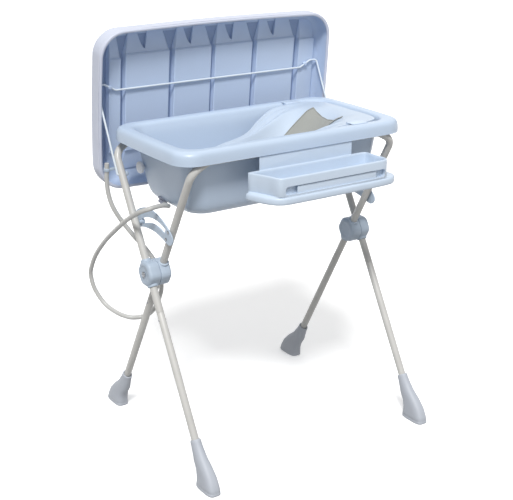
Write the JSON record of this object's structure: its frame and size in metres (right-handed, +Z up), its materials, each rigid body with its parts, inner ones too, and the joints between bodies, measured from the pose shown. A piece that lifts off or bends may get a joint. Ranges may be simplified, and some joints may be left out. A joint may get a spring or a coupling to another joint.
{
  "type": "folding baby bath stand with changing top",
  "caption": "Folding X-frame stand carrying a moulded baby bath tub, with a padded flip-up changing top on a wire bail, a seat insert, a clip-on tray and a drain hose.",
  "frame": {"origin": "on the floor, midway between the four feet", "axes": "+Z up, X along the tub's length, -Y towards the user at the front, where the tray hangs; the raised changing top is at +Y"},
  "size_m": [0.8734, 0.7534, 1.2789],
  "materials": {
    "tub_plastic": "smooth moulded polypropylene, light blue, satin",
    "frame_paint": "warm light-grey powder-coated steel tube",
    "hub_plastic": "grey-blue moulded plastic, satin",
    "foot_plastic": "grey-blue moulded plastic shoes",
    "cover_fabric": "padded white vinyl-coated cloth",
    "liner_fabric": "soft grey foam liner",
    "hose_rubber": "light grey flexible hose",
    "fastener_steel": "plated steel",
    "bail_steel": "thin coated wire",
    "white_plastic": "white moulded plastic",
    "fitting_plastic": "grey moulded plastic"
  },
  "bodies": {
    "outer_frame": {"outer_frame_tube": "frame_paint", "front_leg_left": "frame_paint", "front_leg_right": "frame_paint", "front_foot_left": "foot_plastic", "front_foot_right": "foot_plastic", "front_snap_pin_left": "fastener_steel", "front_snap_pin_right": "fastener_steel", "hub_outer_left": "hub_plastic", "hub_outer_right": "hub_plastic", "hub_bolt_left": "fastener_steel", "hub_bolt_right": "fastener_steel", "slot_pin_left": "hub_plastic", "slot_pin_right": "hub_plastic", "drain_hose": "hose_rubber", "hose_clip": "hub_plastic"},
    "inner_frame": {"inner_frame_tube": "frame_paint", "rear_leg_left": "frame_paint", "rear_leg_right": "frame_paint", "rear_foot_left": "foot_plastic", "rear_foot_right": "foot_plastic", "rear_snap_pin_left": "fastener_steel", "rear_snap_pin_right": "fastener_steel", "hub_inner_left": "hub_plastic", "hub_inner_right": "hub_plastic", "quadrant_left": "tub_plastic", "quadrant_right": "tub_plastic", "rivet_left_1": "fastener_steel", "rivet_right_1": "fastener_steel", "rivet_left_2": "fastener_steel", "rivet_right_2": "fastener_steel"},
    "changing_top": {"top_shell": "tub_plastic", "top_cover": "cover_fabric", "bail_wire": "bail_steel", "bail_cap_left": "hub_plastic", "bail_cap_right": "hub_plastic", "bail_clip_left": "tub_plastic", "bail_clip_right": "tub_plastic"},
    "bath_tub": {"tub": "tub_plastic", "front_saddle_left": "tub_plastic", "front_saddle_right": "tub_plastic", "rear_saddle_left": "tub_plastic", "rear_saddle_right": "tub_plastic", "drain_fitting": "fitting_plastic", "wall_cap": "white_plastic"},
    "seat_insert": {"insert_seat": "tub_plastic", "insert_liner": "liner_fabric"},
    "tray": {"object_tray": "tub_plastic"},
    "plug": {"drain_plug": "white_plastic"}
  },
  "joints": [
    {"name": "top_hinge", "type": "hinge", "parent": "outer_frame", "child": "changing_top", "pos_m": [0, 0.15, 0.85], "axis": [-1, 0, 0], "range_deg": [-84, 0]},
    {"name": "frame_fold", "type": "hinge", "parent": "outer_frame", "child": "inner_frame", "pos_m": [0, -0.0055, 0.5787], "axis": [1, 0, 0], "range_deg": [-1.5, 0]},
    {"name": "tub_lift", "type": "slide", "parent": "outer_frame", "child": "bath_tub", "axis": [0, 0, 1], "range_m": [0, 0.23]},
    {"name": "insert_lift", "type": "slide", "parent": "bath_tub", "child": "seat_insert", "axis": [0, 0, 1], "range_m": [0, 0.2]},
    {"name": "tray_pull", "type": "slide", "parent": "bath_tub", "child": "tray", "axis": [0, 0, -1], "range_m": [0, 0.25]},
    {"name": "plug_lift", "type": "slide", "parent": "bath_tub", "child": "plug", "axis": [0.7071, 0, 0.7071], "range_m": [0, 0.05]}
  ]
}
